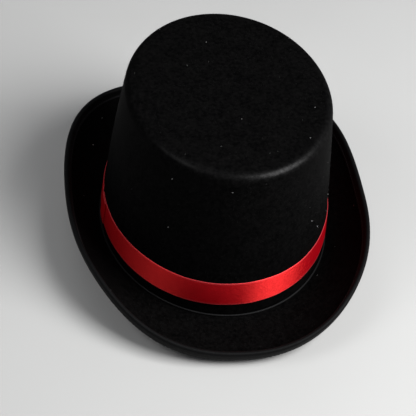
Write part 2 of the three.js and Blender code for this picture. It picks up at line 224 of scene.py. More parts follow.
def finish_mesh(name, points, faces, cloth, sharp):
    """The mesh object: faces turned outwards, smooth between sharp edges, with its cloth UV map."""
    if signed_volume(points, faces) < 0:
        faces = [face[::-1] for face in faces]
        cloth = [corners[::-1] for corners in cloth]
    mesh = bpy.data.meshes.new(name)
    mesh.from_pydata([tuple(point) for point in points], [], faces)
    layer = mesh.uv_layers.new(name="cloth")
    layer.data.foreach_set("uv", np.array([pair for corners in cloth for pair in corners]).ravel())
    mesh.shade_smooth()
    mesh.set_sharp_from_angle(angle=math.radians(sharp))
    mesh.update()
    return link_mesh(name, mesh)


# %% [markdown]
# ## Sections with soft edges
#
# Cloth and felt never end in a knife edge. A layer on the wall is a thin slab whose two ends are half rounds,
# so that light catches them. The same outline serves the ribbon, the lining, the sweatband and the buckram.

# %% Wall layers
END_ROUND = np.radians([-60, -20, 20, 60])


def slab_outline(low, high, inset, thickness, rings):
    """Heights and insets round the closed section of a slab with rounded ends."""
    half = thickness / 2
    body = np.linspace(low + half, high - half, rings)
    top_round = high - half + half * np.cos(END_ROUND)
    foot_round = low + half - half * np.cos(END_ROUND)
    heights = [*body, *top_round, *body[::-1], *foot_round]
    insets = [
        *np.full(rings, inset), *(inset + half + half * np.sin(END_ROUND)),
        *np.full(rings, inset + thickness), *(inset + half - half * np.sin(END_ROUND)),
    ]
    return np.array(heights), np.array(insets)


def wall_layer(name, low, high, inset, thickness, rings=12, ripple=None):
    """A layer all the way round the crown's wall; ripple(angle, height) moves it further inside."""
    heights, insets = slab_outline(low, high, inset, thickness, rings)
    angle = AROUND[:, None]
    insets = insets[None, :] + (ripple(angle, heights[None, :]) if ripple else 0)
    return loft(name, shaped_by_hand(crown_points(angle, heights[None, :], insets)))


def wall_cord(name, inset, height, radius, angles=AROUND, is_loop=True, sides=12):
    """A round cord that follows the crown's wall."""
    turn = np.linspace(0, 2 * np.pi, sides, endpoint=False)[None, :]
    sections = crown_points(angles[:, None], height + 0 * turn, inset - radius * np.cos(turn))
    sections[..., 2] = height + radius * np.sin(turn)
    return loft(name, shaped_by_hand(sections), is_loop)


def tip_disc(name, top, thickness, inset, rings=10):
    """A flat disc that fills the crown at a height, with a rounded edge."""
    half = thickness / 2
    turn = END_ROUND[::-1]
    shares = np.linspace(0.15, 1, rings)
    edge_heights = top - half + half * np.sin(turn)
    heights = np.array([*np.full(rings, top), *edge_heights, *np.full(rings, top - thickness)])
    radial = np.array([*shares, *np.ones(4), *shares[::-1]])
    rounding = np.array([*np.full(rings, half), *(half - half * np.cos(turn)), *np.full(rings, half)])
    edge = crown_points(AROUND[:, None], heights[None, :], inset + rounding[None, :])
    edge[..., :2] *= radial[None, :, None]
    middle = shaped_by_hand(np.array([[0, 0, top], [0, 0, top - thickness]]))
    return dome(name, shaped_by_hand(edge), *middle)


def dressed(piece, material):
    """The piece in its material, riding on the hat's one body."""
    piece.data.materials.clear()
    piece.data.materials.append(material)
    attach(piece, "root")
    print(piece.name, "has", len(piece.data.polygons), "faces")
    return piece


def made(piece, material, slot, *nodes):
    """A finished piece that stands for CAD nodes, in its material. Its slot argument is not used."""
    dressed(piece, material)
    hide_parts(*nodes)
    return piece


# %% [markdown]
# ## Shader groups
#
# Several finishes share the same effects. The brushed nap is on the crown and the brim; ribs are on the
# binding, the cord and the tape; long floats are on every satin. Each effect is one node group with named
# inputs, built once and given its own values in each material. A group only puts out values.

# %% Building shader groups
def shader_group(name, inputs, outputs):
    group = bpy.data.node_groups.new(name, "ShaderNodeTree")
    for label, kind, value in inputs:
        socket = group.interface.new_socket(label, in_out="INPUT", socket_type=kind)
        if value is not None:
            socket.default_value = value
    for label, kind in outputs:
        group.interface.new_socket(label, in_out="OUTPUT", socket_type=kind)
    return group, group.nodes.new("NodeGroupInput"), group.nodes.new("NodeGroupOutput")


def node(tree, kind, settings=None, **inputs):
    """A node with its settings, and its inputs joined or given a value by name."""
    made_node = tree.nodes.new(kind)
    for key, value in (settings or {}).items():
        setattr(made_node, key, value)
    for key, value in inputs.items():
        wanted = int(key[1:]) if key[0] == "n" and key[1:].isdigit() else key.replace("_", " ")
        socket = made_node.inputs[wanted]
        if isinstance(value, bpy.types.NodeSocket):
            tree.links.new(value, socket)
        else:
            socket.default_value = value
    return made_node


def maths(tree, operation, first, second=0.0, third=0.0):
    return node(tree, "ShaderNodeMath", {"operation": operation}, n0=first, n1=second, n2=third).outputs[0]


def noise(tree, vector, scale, detail=3.0, rough=0.6):
    return node(
        tree, "ShaderNodeTexNoise", None, Vector=vector, Scale=scale, Detail=detail, Roughness=rough,
    ).outputs[0]


def remap(tree, value, low, high, to_low, to_high):
    return node(
        tree, "ShaderNodeMapRange", None,
        Value=value, From_Min=low, From_Max=high, To_Min=to_low, To_Max=to_high,
    ).outputs[0]


VALUE, VECTOR = "NodeSocketFloat", "NodeSocketVector"


# %% [markdown]
# ### The nap
#
# Felt is a mat of fine wool fibres. Brushed, it shows soft patches where the fibres lie one way or another,
# and a fine grain of single tufts. Patches, tufts and grain come from noise at three scales.

# %% The nap group
def build_nap():
    group, given, out = shader_group(
        "brushed nap",
        [("Position", VECTOR, None), ("Patch Scale", VALUE, 60.0), ("Grain Scale", VALUE, 1500.0)],
        [("Patches", VALUE), ("Grain", VALUE), ("Height", VALUE)],
    )
    where = given.outputs["Position"]
    patches = noise(group, where, given.outputs["Patch Scale"], 4.0, 0.65)
    grain = noise(group, where, given.outputs["Grain Scale"], 5.0, 0.8)
    tufts = noise(group, where, maths(group, "MULTIPLY", given.outputs["Grain Scale"], 0.22), 4.0, 0.7)
    height = maths(group, "MULTIPLY_ADD", grain, 0.5, maths(group, "MULTIPLY", tufts, 0.8))
    group.links.new(patches, out.inputs["Patches"])
    group.links.new(grain, out.inputs["Grain"])
    group.links.new(height, out.inputs["Height"])
    return group


NAP = build_nap()

# %% [markdown]
# ### Ribs and floats
#
# Grosgrain has thick weft cords that show as ribs across the ribbon. Satin has long floats that run along it,
# so its streaks are drawn out lengthwise. Both read the cloth UV map: its first number is metres along the
# cloth and its second is metres across.

# %% The rib and float groups
def build_ribs():
    group, given, out = shader_group(
        "ribs", [("Cloth", VECTOR, None), ("Ribs Per Metre", VALUE, 1100.0)],
        [("Rib", VALUE), ("Height", VALUE)])
    parts = node(group, "ShaderNodeSeparateXYZ", None, Vector=given.outputs["Cloth"])
    turns = maths(group, "MULTIPLY", parts.outputs[0], given.outputs["Ribs Per Metre"])
    wobble = noise(group, given.outputs["Cloth"], 400.0)
    turns = maths(group, "MULTIPLY_ADD", wobble, 0.6, turns)
    wave = maths(group, "SINE", maths(group, "MULTIPLY", turns, 2 * math.pi))
    rib = maths(group, "MULTIPLY_ADD", wave, 0.5, 0.5)
    thread = noise(group, given.outputs["Cloth"], 3000.0)
    group.links.new(rib, out.inputs["Rib"])
    group.links.new(maths(group, "MULTIPLY_ADD", thread, 0.3, rib), out.inputs["Height"])
    return group


def build_floats():
    group, given, out = shader_group(
        "satin floats", [("Cloth", VECTOR, None)],
        [("Streak", VALUE), ("Cloudiness", VALUE), ("Height", VALUE)])
    drawn = node(group, "ShaderNodeVectorMath", {"operation": "MULTIPLY"},
                 n0=given.outputs["Cloth"], n1=(0.12, 1.0, 1.0)).outputs[0]
    streak = noise(group, drawn, 2600.0, 3.0, 0.7)
    cloud = noise(group, given.outputs["Cloth"], 90.0, 3.0, 0.6)
    picks = noise(group, given.outputs["Cloth"], 1400.0, 2.0, 0.5)
    group.links.new(streak, out.inputs["Streak"])
    group.links.new(cloud, out.inputs["Cloudiness"])
    group.links.new(maths(group, "MULTIPLY_ADD", picks, 0.5, streak), out.inputs["Height"])
    return group


RIBS = build_ribs()
FLOATS = build_floats()

# %% [markdown]
# ## Materials
#
# Every material starts from the same small frame: a Principled shader whose constant numbers sit on its own
# sockets, and a bump node for its fine relief. Its colour, its roughness and its relief are joined
# afterwards, since those three vary over every real surface.

# %% Starting a material
def start_material(name, roughness, bump_strength, bump_mm, **sockets):
    material = bpy.data.materials.new(name)
    material.use_nodes = True
    tree = material.node_tree
    shader = tree.nodes["Principled BSDF"]
    shader.inputs["Roughness"].default_value = roughness
    for key, value in sockets.items():
        shader.inputs[key.replace("_", " ")].default_value = value
    bump = node(tree, "ShaderNodeBump", None, Strength=bump_strength, Distance=bump_mm * MM)
    tree.links.new(bump.outputs[0], shader.inputs["Normal"])
    return material, tree, shader, bump


def feed(tree, shader, bump, colour, roughness, relief):
    """Joins what varies over the surface: its colour, its roughness and its fine relief."""
    tree.links.new(colour, shader.inputs["Base Color"])
    tree.links.new(roughness, shader.inputs["Roughness"])
    tree.links.new(relief, bump.inputs["Height"])


def grouped(tree, group, **inputs):
    return node(tree, "ShaderNodeGroup", {"node_tree": group}, **inputs)


def position_in_hat(tree):
    return tree.nodes.new("ShaderNodeTexCoord").outputs["Object"]


def cloth_map(tree):
    return node(tree, "ShaderNodeUVMap", {"uv_map": "cloth"}).outputs[0]


def blend_colours(tree, share, first, second):
    mixed = node(tree, "ShaderNodeMix", {"data_type": "RGBA"}, Factor=share)
    for socket, value in ((mixed.inputs[6], first), (mixed.inputs[7], second)):
        if isinstance(value, bpy.types.NodeSocket):
            tree.links.new(value, socket)
        else:
            socket.default_value = (*value, 1)
    return mixed.outputs[2]


# %% [markdown]
# ### Black felt
#
# Dyed wool felt is about as dark as cloth gets. Its sheen comes from upright fibres, and where hands have
# pressed the tip's edge the nap lies flat and shines. The mesh carries that as the attribute `pressed`.

# %% Black felt
def make_felt(name, patch_scale, pressed_shine):
    material, tree, shader, bump = start_material(
        name, 0.7, 0.6, 0.35,
        Specular_IOR_Level=0.014, Sheen_Weight=0.003, Sheen_Roughness=0.25, Coat_Roughness=0.38)
    nap = grouped(tree, NAP, Position=position_in_hat(tree), Patch_Scale=patch_scale, Grain_Scale=1500.0)
    tufted = maths(tree, "MULTIPLY", nap.outputs["Height"], 0.7)
    shade = maths(tree, "MULTIPLY_ADD", nap.outputs["Patches"], 0.2, tufted)
    colour = blend_colours(
        tree, remap(tree, shade, 0.46, 0.66, 0, 1), (0.0003, 0.0003, 0.00035), (0.0024, 0.0023, 0.0023))
    pressed = node(tree, "ShaderNodeAttribute", {"attribute_name": "pressed"}).outputs["Fac"]
    matt = remap(tree, nap.outputs["Grain"], 0.3, 0.7, 0.78, 0.62)
    uneven = maths(tree, "MULTIPLY", pressed, remap(tree, nap.outputs["Height"], 0.5, 0.8, 0.4, 1.0))
    feed(tree, shader, bump, colour, matt, nap.outputs["Height"])
    tree.links.new(maths(tree, "MULTIPLY", uneven, pressed_shine), shader.inputs["Coat Weight"])
    return material


FELT_CROWN = make_felt("black felt crown", 90.0, 0.2)
FELT_BRIM = make_felt("black felt brim", 110.0, 0.26)

# %% [markdown]
# ### Satin, grosgrain, leather, buckram and steel
#
# The red satin has its floats along the ribbon, so it shines in a band across it: an anisotropic gloss whose
# direction is the UV map's. Its two selvedges are paler, tighter threads. The black lining is the same cloth,
# dyed black. Grosgrain is ribbed and duller. The sweatband is a thin dark leather with pores.

# %% Satin
def make_satin(name, dark, light, shine, gloss_index, roughness, anisotropy, selvedge=None):
    material, tree, shader, bump = start_material(
        name, roughness, 1.0, 0.28,
        Specular_IOR_Level=0.9, IOR=gloss_index, Anisotropic=anisotropy, Specular_Tint=shine)
    floats = grouped(tree, FLOATS, Cloth=cloth_map(tree))
    cloudy = maths(tree, "MULTIPLY", floats.outputs["Cloudiness"], 0.3)
    share = maths(tree, "MULTIPLY_ADD", floats.outputs["Streak"], 0.7, cloudy)
    colour = blend_colours(tree, remap(tree, share, 0.3, 0.7, 0, 1), dark, light)
    gloss = remap(tree, floats.outputs["Streak"], 0.25, 0.75, roughness * 0.8, roughness * 1.25)
    if selvedge:
        edge = node(tree, "ShaderNodeAttribute", {"attribute_name": "selvedge"}).outputs["Fac"]
        colour = blend_colours(tree, edge, colour, selvedge)
    feed(tree, shader, bump, colour, gloss, floats.outputs["Height"])
    tangent = node(tree, "ShaderNodeTangent", {"direction_type": "UV_MAP", "uv_map": "cloth"})
    tree.links.new(tangent.outputs[0], shader.inputs["Tangent"])
    shader.inputs["Anisotropic Rotation"].default_value = 0.25
    return material


RED_SATIN = make_satin(
    "red satin", (0.20, 0.0003, 0.003), (0.40, 0.0008, 0.007), (1, 0.045, 0.042, 1),
    gloss_index=2.8, roughness=0.38, anisotropy=1.0, selvedge=(0.5, 0.05, 0.06))
BLACK_SATIN = make_satin(
    "black satin", (0.003, 0.003, 0.004), (0.009, 0.009, 0.011), (1, 1, 1, 1),
    gloss_index=1.5, roughness=0.42, anisotropy=0.8)


# %% Grosgrain
def make_grosgrain(name, dark, light, ribs_per_metre):
    material, tree, shader, bump = start_material(
        name, 0.55, 0.5, 0.15, Specular_IOR_Level=0.07, Sheen_Weight=0.004, Sheen_Roughness=0.4)
    ribs = grouped(tree, RIBS, Cloth=cloth_map(tree), Ribs_Per_Metre=ribs_per_metre)
    wear = noise(tree, position_in_hat(tree), 120.0, 4.0, 0.7)
    share = maths(tree, "MULTIPLY", ribs.outputs["Rib"], remap(tree, wear, 0.3, 0.7, 0.5, 1.0))
    colour = blend_colours(tree, share, dark, light)
    feed(tree, shader, bump, colour, remap(tree, share, 0, 1, 0.7, 0.45), ribs.outputs["Height"])
    return material


GROSGRAIN = make_grosgrain("black grosgrain", (0.0006, 0.0006, 0.0007), (0.0035, 0.0035, 0.0037), 1100.0)
CORD_BLACK = make_grosgrain("black cord", (0.002, 0.002, 0.0022), (0.013, 0.013, 0.0135), 900.0)


# %% Leather, buckram, steel and thread
def waves(tree, where, direction, scale, distortion):
    """Parallel threads as soft waves, one way across the piece."""
    wave = node(tree, "ShaderNodeTexWave", {"bands_direction": direction},
                Vector=where, Scale=scale, Distortion=distortion)
    return wave.outputs["Fac"]


def make_leather():
    material, tree, shader, bump = start_material(
        "sweatband leather", 0.5, 0.5, 0.12, Specular_IOR_Level=0.45)
    where = position_in_hat(tree)
    pores = node(tree, "ShaderNodeTexVoronoi", {"feature": "DISTANCE_TO_EDGE"}, Vector=where, Scale=900.0)
    creases = noise(tree, where, 160.0, 5.0, 0.65)
    grain = remap(tree, pores.outputs["Distance"], 0.0, 0.25, 0.0, 1.0)
    share = maths(tree, "MULTIPLY", grain, remap(tree, creases, 0.3, 0.7, 0.4, 1.0))
    colour = blend_colours(tree, share, (0.006, 0.0045, 0.004), (0.022, 0.016, 0.013))
    relief = maths(tree, "MULTIPLY_ADD", creases, 0.6, grain)
    feed(tree, shader, bump, colour, remap(tree, creases, 0.3, 0.7, 0.42, 0.62), relief)
    return material


def make_buckram():
    material, tree, shader, bump = start_material("buckram", 0.85, 0.6, 0.25, Specular_IOR_Level=0.3)
    where = position_in_hat(tree)
    threads = waves(tree, where, "Z", 330.0, 1.5)
    crossing = waves(tree, where, "DIAGONAL", 300.0, 1.5)
    weave = maths(tree, "MAXIMUM", threads, crossing)
    size_spots = noise(tree, where, 200.0)
    share = maths(tree, "MULTIPLY", weave, remap(tree, size_spots, 0.3, 0.7, 0.6, 1.0))
    colour = blend_colours(tree, share, (0.05, 0.045, 0.037), (0.16, 0.145, 0.12))
    feed(tree, shader, bump, colour, remap(tree, size_spots, 0.3, 0.7, 0.75, 0.95), weave)
    return material


def make_steel():
    material, tree, shader, bump = start_material("drawn steel", 0.35, 0.2, 0.03, Metallic=1.0)
    where = position_in_hat(tree)
    scratches = noise(tree, where, 2000.0, 4.0, 0.7)
    stain = noise(tree, where, 150.0)
    colour = blend_colours(tree, remap(tree, stain, 0.4, 0.7, 0, 1), (0.5, 0.5, 0.51), (0.32, 0.29, 0.26))
    feed(tree, shader, bump, colour, remap(tree, scratches, 0.3, 0.7, 0.28, 0.5), scratches)
    return material


def make_thread():
    material, tree, shader, bump = start_material("black thread", 0.6, 0.5, 0.08, Specular_IOR_Level=0.25)
    where = position_in_hat(tree)
    twist = waves(tree, where, "DIAGONAL", 600.0, 2.0)
    colour = blend_colours(tree, twist, (0.006, 0.006, 0.007), (0.03, 0.03, 0.033))
    feed(tree, shader, bump, colour, remap(tree, noise(tree, where, 900.0), 0.3, 0.7, 0.5, 0.75), twist)
    return material


LEATHER = make_leather()
BUCKRAM = make_buckram()
STEEL = make_steel()
THREAD = make_thread()
print("materials:", len(bpy.data.materials))

# %% [markdown]
# ## The crown
#
# The crown is one piece of felt: a wall, a soft rounded edge and a flat tip, blocked over a wooden form. It
# is a dome piece whose chain goes from the middle of the tip, over the edge and down the wall, then back up
# inside. A vertex attribute marks the edge where the nap is pressed.

# %% Crown felt
FOOT_ROUND = 0.4 * MM


def crown_face(inset, wall_rings, edge_steps, tip_rings):
    """Heights and insets of one face of the felt, from its foot up, and how far in each tip ring lies."""
    centre = CROWN_HEIGHT - TIP_EDGE_RADIUS
    radius = TIP_EDGE_RADIUS - inset
    wall = np.linspace(CLEARANCE + FOOT_ROUND, centre, wall_rings, endpoint=False)
    turn = np.radians(np.linspace(0, 90, edge_steps))
    heights = np.array([*wall, *(centre + radius * np.sin(turn)), *np.full(tip_rings, centre + radius)])
    insets = np.array([*np.full(wall_rings, inset), *(TIP_EDGE_RADIUS - radius * np.cos(turn)),
                       *np.full(tip_rings, TIP_EDGE_RADIUS)])
    inward = np.array([*np.ones(wall_rings + edge_steps), *np.linspace(1, 0.06, tip_rings + 1)[1:]])
    return heights, insets, inward


def crown_chain(heights, insets, inward):
    points = crown_points(AROUND[:, None], heights[None, :], insets[None, :])
    points[..., :2] *= inward[None, :, None]
    return points


def make_crown_felt():
    outside = crown_chain(*crown_face(0, 46, 11, 22))
    inside = crown_chain(*crown_face(CROWN_FELT, 20, 6, 8))
    foot_half = CROWN_FELT / 2
    foot_heights = CLEARANCE + FOOT_ROUND - FOOT_ROUND * np.cos(END_ROUND)
    foot_insets = foot_half + foot_half * np.sin(END_ROUND)
    foot = crown_points(AROUND[:, None], foot_heights[None, :], foot_insets[None, :])
    chains = np.concatenate([outside[:, ::-1], foot, inside], axis=1)
    ends = shaped_by_hand(np.array([[0, 0, CROWN_HEIGHT], [0, 0, CROWN_HEIGHT - CROWN_FELT]]))
    return dome("crown_felt_shell", shaped_by_hand(chains), *ends, sharp=60)


def mark(piece, name, share_at):
    """Writes an attribute that a material reads, from each point's place above the seat."""
    points = np.zeros(len(piece.data.vertices) * 3)
    piece.data.vertices.foreach_get("co", points)
    points = points.reshape(-1, 3)
    points[:, 2] -= SEAT
    attribute = piece.data.attributes.new(name, "FLOAT", "POINT")
    attribute.data.foreach_set("value", share_at(points).astype(np.float32))


PRESSED_MOST = math.radians(125)


def tip_edge_share(points):
    height = points[:, 2]
    out = np.hypot(points[:, 0] / TIP_HALF_WIDTH, points[:, 1] / (TIP_HALF_WIDTH + EXTRA_HALF_LENGTH))
    on_wall = np.clip((height - (CROWN_HEIGHT - 5.5 * MM)) / (3 * MM), 0, 1)
    near_edge = np.clip((out - 0.925) / 0.035, 0, 1)
    angle = np.arctan2(points[:, 1], points[:, 0])
    handled = np.clip(0.15 + 0.85 * np.cos(angle - PRESSED_MOST), 0.1, 1)
    return on_wall * near_edge * handled


crown_shell = made(make_crown_felt(), FELT_CROWN, "felt", "crown_felt")
mark(crown_shell, "pressed", tip_edge_share)

# %% [markdown]
# ## The brim
#
# The brim leaves the crown level at the front and back, and climbs at the sides: the curl. Its last
# centimetre turns up into a lip. A cut through it is a parabola, then an arc, then a short straight. The
# cut's slopes change with the angle round the hat, from the level front to the curled side, by a power of
# the cosine.

# %% A cut through the brim
BRIM_HALF_WIDTH = 118 * MM
BRIM_HALF_LENGTH = 156.5 * MM
BRIM_SQUARENESS = 2.36
SIDE_SLOPES = (0.515, 1.7)
END_SLOPES = (0, 0.19)
CURL_POWER = 2.75
LIP_RADIUS = 5.3 * MM
LIP_STRAIGHT = 2.3 * MM
LIP_FOOT = 11 * MM
LIP_LEAN = math.radians(80)
SEAT_INSIDE = 3.4 * MM
SEAT_OUTSIDE = 2 * MM
BRIM_FELT = 0.8 * MM
BRIM_CORE = 0.5 * MM
CORE_DEPTH = BRIM_FELT + CLEARANCE
UNDER_DEPTH = CORE_DEPTH + BRIM_CORE + CLEARANCE
BRIM_THICKNESS = UNDER_DEPTH + BRIM_FELT


class BrimCut:
    """The brim's top face at one angle: points by their distance along it and their depth below it."""

    def __init__(self, angle):
        self.foot = crown_points(np.array(angle), np.array(0.0), 0)
        cosine, sine = math.cos(angle), math.sin(angle)
        square = (abs(cosine) ** BRIM_SQUARENESS + abs(sine) ** BRIM_SQUARENESS) ** (-1 / BRIM_SQUARENESS)
        rim = np.array([BRIM_HALF_WIDTH * cosine, BRIM_HALF_LENGTH * sine, 0]) * square
        reach = np.linalg.norm(rim - self.foot)
        self.outward = (rim - self.foot) / reach
        side = abs(cosine) ** CURL_POWER
        start = END_SLOPES[0] + (SIDE_SLOPES[0] - END_SLOPES[0]) * side
        end = END_SLOPES[1] + (SIDE_SLOPES[1] - END_SLOPES[1]) * side
        lip = math.atan(end)
        lip_width = LIP_STRAIGHT * math.cos(LIP_LEAN) + LIP_RADIUS * (math.sin(LIP_LEAN) - math.sin(lip))
        curve = reach - SEAT_OUTSIDE - lip_width
        out = np.linspace(0, curve, 50)
        turn = np.linspace(lip, LIP_LEAN, 40)[1:]
        slopes = np.arctan(start + (end - start) * out / curve)
        outs = [np.array([-SEAT_INSIDE, 0]), SEAT_OUTSIDE + out]
        ups = [np.zeros(2), start * out + (end - start) * out ** 2 / (2 * curve)]
        outs.append(outs[-1][-1] + LIP_RADIUS * (np.sin(turn) - math.sin(lip)))
        ups.append(ups[-1][-1] + LIP_RADIUS * (math.cos(lip) - np.cos(turn)))
        outs.append(outs[-1][-1:] + LIP_STRAIGHT * math.cos(LIP_LEAN))
        ups.append(ups[-1][-1:] + LIP_STRAIGHT * math.sin(LIP_LEAN))
        self.out, self.up = np.concatenate(outs), np.concatenate(ups)
        self.lean = np.concatenate([np.zeros(2), slopes, turn, [LIP_LEAN]])
        steps = np.hypot(np.diff(self.out), np.diff(self.up))
        self.lengths = np.concatenate([[0], np.cumsum(steps)])
        self.total = self.lengths[-1]

    def points(self, along, depth):
        along = np.asarray(along, float)
        lean = np.interp(along, self.lengths, self.lean)
        past = np.maximum(along - self.total, 0)
        out = np.interp(along, self.lengths, self.out) + past * math.cos(LIP_LEAN) + np.sin(lean) * depth
        up = np.interp(along, self.lengths, self.up) + past * math.sin(LIP_LEAN) - np.cos(lean) * depth
        points = self.foot[None, :] + out[:, None] * self.outward[None, :]
        points[:, 2] = up
        return points


BRIM_CUTS = [BrimCut(angle) for angle in AROUND]
side_width, back_width = (round(BRIM_CUTS[place].total / MM, 1) for place in (0, ROUND_STEPS // 4))
print("brim width along its face in mm:", side_width, "at the side,", back_width, "at the back")


# %% Brim layers
def brim_stations(cut, shortfall, body_steps=34, lip_steps=16):
    lip_foot = cut.total - LIP_FOOT
    body = np.linspace(0, lip_foot, body_steps, endpoint=False)
    return np.concatenate([body, np.linspace(lip_foot, cut.total - shortfall, lip_steps)])


def brim_layer(name, depth, thickness, shortfall=0.0):
    half = thickness / 2
    turn = END_ROUND[::-1]
    sections = []
    for cut in BRIM_CUTS:
        stations = brim_stations(cut, shortfall + half)
        rim = stations[-1] + half * np.cos(turn)
        root = stations[0] - half * np.cos(turn[::-1]) + half
        along = np.concatenate([stations[1:], rim, stations[:0:-1], root])
        depths = np.concatenate([
            np.full(len(stations) - 1, depth), depth + half - half * np.sin(turn),
            np.full(len(stations) - 1, depth + thickness), depth + half - half * np.sin(turn[::-1]),
        ])
        sections.append(cut.points(along, depths))
    return loft(name, shaped_by_hand(np.array(sections)), sharp=50)


def nothing_pressed(points):
    return np.zeros(len(points))


brim_top = made(brim_layer("brim_felt_top", 0, BRIM_FELT), FELT_BRIM, "felt", "brim_top_felt")
made(brim_layer("brim_stiffener", CORE_DEPTH, BRIM_CORE, LIP_STRAIGHT), BUCKRAM, "buckram", "brim_core")
brim_under = made(brim_layer("brim_felt_under", UNDER_DEPTH, BRIM_FELT), FELT_BRIM, "felt", "brim_under_felt")
for felt in (brim_top, brim_under):
    mark(felt, "pressed", nothing_pressed)

# %% [markdown]
# ## The rim: wire, joiner and binding
#
# A spring wire keeps the brim's line. It lies past the felt's edge, with a grosgrain ribbon folded over both.
# The fold is a U: a leg down each face and a half round over the wire. Its legs end in a soft edge.

# %% Wire and binding
WIRE_RADIUS = 0.6 * MM
BINDING_THICKNESS = 0.5 * MM
BINDING_LEG = 6.5 * MM
JOIN_HALF = 0.6 * 2 * math.pi / 48
JOIN_GAP = 0.04 * 2 * math.pi / 48
BACK_ANGLE = math.pi / 2
turn_round = 2 * math.pi
FERRULE_SPAN = (BACK_ANGLE - JOIN_HALF, BACK_ANGLE + JOIN_HALF)
OPEN_SPAN = (FERRULE_SPAN[1] + JOIN_GAP, FERRULE_SPAN[0] - JOIN_GAP + turn_round)


def rim_rod(name, first, last, sides=10):
    """A rod in the rim, past the felt's edge, from one angle to another."""
    steps = max(6, round((last - first) / (2 * math.pi) * ROUND_STEPS))
    turn = np.linspace(0, 2 * math.pi, sides, endpoint=False)
    sections = []
    for angle in np.linspace(first, last, steps):
        cut = BrimCut(angle)
        along = cut.total + CLEARANCE + WIRE_RADIUS + WIRE_RADIUS * np.cos(turn)
        sections.append(cut.points(along, BRIM_THICKNESS / 2 + WIRE_RADIUS * np.sin(turn)))
    return loft(name, shaped_by_hand(np.array(sections)), False)


def fold_outline(gap, leg, leg_steps=9, bend_steps=11):
    """Distances past the rim and depths along one face of the folded binding."""
    half = BRIM_THICKNESS / 2 + gap
    crest = 2 * WIRE_RADIUS + CLEARANCE + gap
    legs = np.linspace(-leg, 0, leg_steps)
    turn = np.radians(np.linspace(90, -90, bend_steps + 2))[1:-1]
    along = np.concatenate([legs, crest * np.cos(turn), legs[::-1]])
    depth = np.concatenate([np.full(leg_steps, -gap), BRIM_THICKNESS / 2 - half * np.sin(turn),
                            np.full(leg_steps, BRIM_THICKNESS + gap)])
    return along, depth


def make_binding():
    outer = fold_outline(CLEARANCE + BINDING_THICKNESS, BINDING_LEG - 0.2 * MM)
    inner = fold_outline(CLEARANCE, BINDING_LEG - 0.2 * MM)
    end = -BINDING_LEG
    middle = CLEARANCE + BINDING_THICKNESS / 2
    along = np.concatenate([outer[0], [end], inner[0][::-1], [end]])
    depth = np.concatenate([outer[1], [BRIM_THICKNESS + middle], inner[1][::-1], [-middle]])
    sections = np.array([cut.points(cut.total + along, depth) for cut in BRIM_CUTS])
    return loft("brim_edge_binding", shaped_by_hand(sections), sharp=60)


made(rim_rod("brim_edge_wire", *OPEN_SPAN), STEEL, "wire_steel", "brim_wire")
made(rim_rod("brim_wire_ferrule", *FERRULE_SPAN), STEEL, "wire_steel", "brim_wire_joiner")
made(make_binding(), GROSGRAIN, "grosgrain", "brim_binding")

# %% [markdown]
# ## Layers inside the crown, and the cord at its foot
#
# Buckram stiffens the wall and the tip. A stay tape stops the foot from stretching. The satin lining hangs a
# little slack, so it ripples inwards between the sweatband and the tip, and a piping covers the seam where
# its side meets its tip. A thin cord lies in the corner between the crown and the brim.

# %% Inner layers
INSET_STIFFENER = CROWN_FELT + CLEARANCE
STIFFENER = 0.7 * MM
INSET_TAPE = INSET_STIFFENER + STIFFENER + CLEARANCE
TAPE = 0.4 * MM
INSET_LINING = INSET_TAPE + TAPE + CLEARANCE
LINING = 0.4 * MM
INSET_SWEATBAND = INSET_LINING + LINING + CLEARANCE


def heights_of(cad_node):
    """A CAD node's lowest and highest point, above the seat."""
    low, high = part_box(cad_node)
    return low.z - SEAT, high.z - SEAT


RIPPLE_DEPTH = 0.55 * MM
RIPPLE_LOW = 38 * MM
RIPPLE_BELOW_TIP = 14 * MM


def lining_ripple(angle, height):
    low, high = RIPPLE_LOW, CROWN_HEIGHT - RIPPLE_BELOW_TIP
    hang = np.sin(np.pi * np.clip((height - low) / (high - low), 0, 1)) ** 0.6
    folds = np.sin(31 * angle + 3 * np.sin(4 * angle) + 6 * height / CROWN_HEIGHT)
    drift = np.sin(9 * angle - 8 * height / CROWN_HEIGHT)
    return RIPPLE_DEPTH * hang * (1.2 + 0.8 * folds + 0.4 * drift)


TIP_STIFFENER = 0.8 * MM
TIP_STIFFENER_INSET = 5 * MM
CORD_RADIUS = 0.7 * MM
PIPING_INSET = INSET_LINING + LINING + CLEARANCE + CORD_RADIUS
CORD_OUT = CLEARANCE + CORD_RADIUS

side_stiffener = wall_layer(
    "crown_stiffener_side", *heights_of("crown_side_stiffener"), INSET_STIFFENER, STIFFENER, 24)
tip_stiffener = tip_disc(
    "crown_stiffener_tip", heights_of("crown_tip_stiffener")[1], TIP_STIFFENER, TIP_STIFFENER_INSET)
tape = wall_layer("crown_tape", *heights_of("crown_stay_tape"), INSET_TAPE, TAPE, 6)
side_lining = wall_layer(
    "lining_side_cloth", *heights_of("lining_side"), INSET_LINING, LINING, 40, lining_ripple)
tip_lining = tip_disc("lining_tip_cloth", heights_of("lining_tip")[1], LINING, INSET_LINING)
piping = wall_cord(
    "lining_piping_cord", PIPING_INSET, heights_of("lining_piping")[1] - CORD_RADIUS, CORD_RADIUS)
foot_cord = wall_cord("crown_foot_cord", -CORD_OUT, CORD_OUT, CORD_RADIUS)
made(side_stiffener, BUCKRAM, "buckram", "crown_side_stiffener")
made(tip_stiffener, BUCKRAM, "buckram", "crown_tip_stiffener")
made(tape, GROSGRAIN, "grosgrain", "crown_stay_tape")
made(side_lining, BLACK_SATIN, "black_satin", "lining_side")
made(tip_lining, BLACK_SATIN, "black_satin", "lining_tip")
made(piping, BLACK_SATIN, "black_satin", "lining_piping")
made(foot_cord, CORD_BLACK, "grosgrain", "crown_seam_cord")

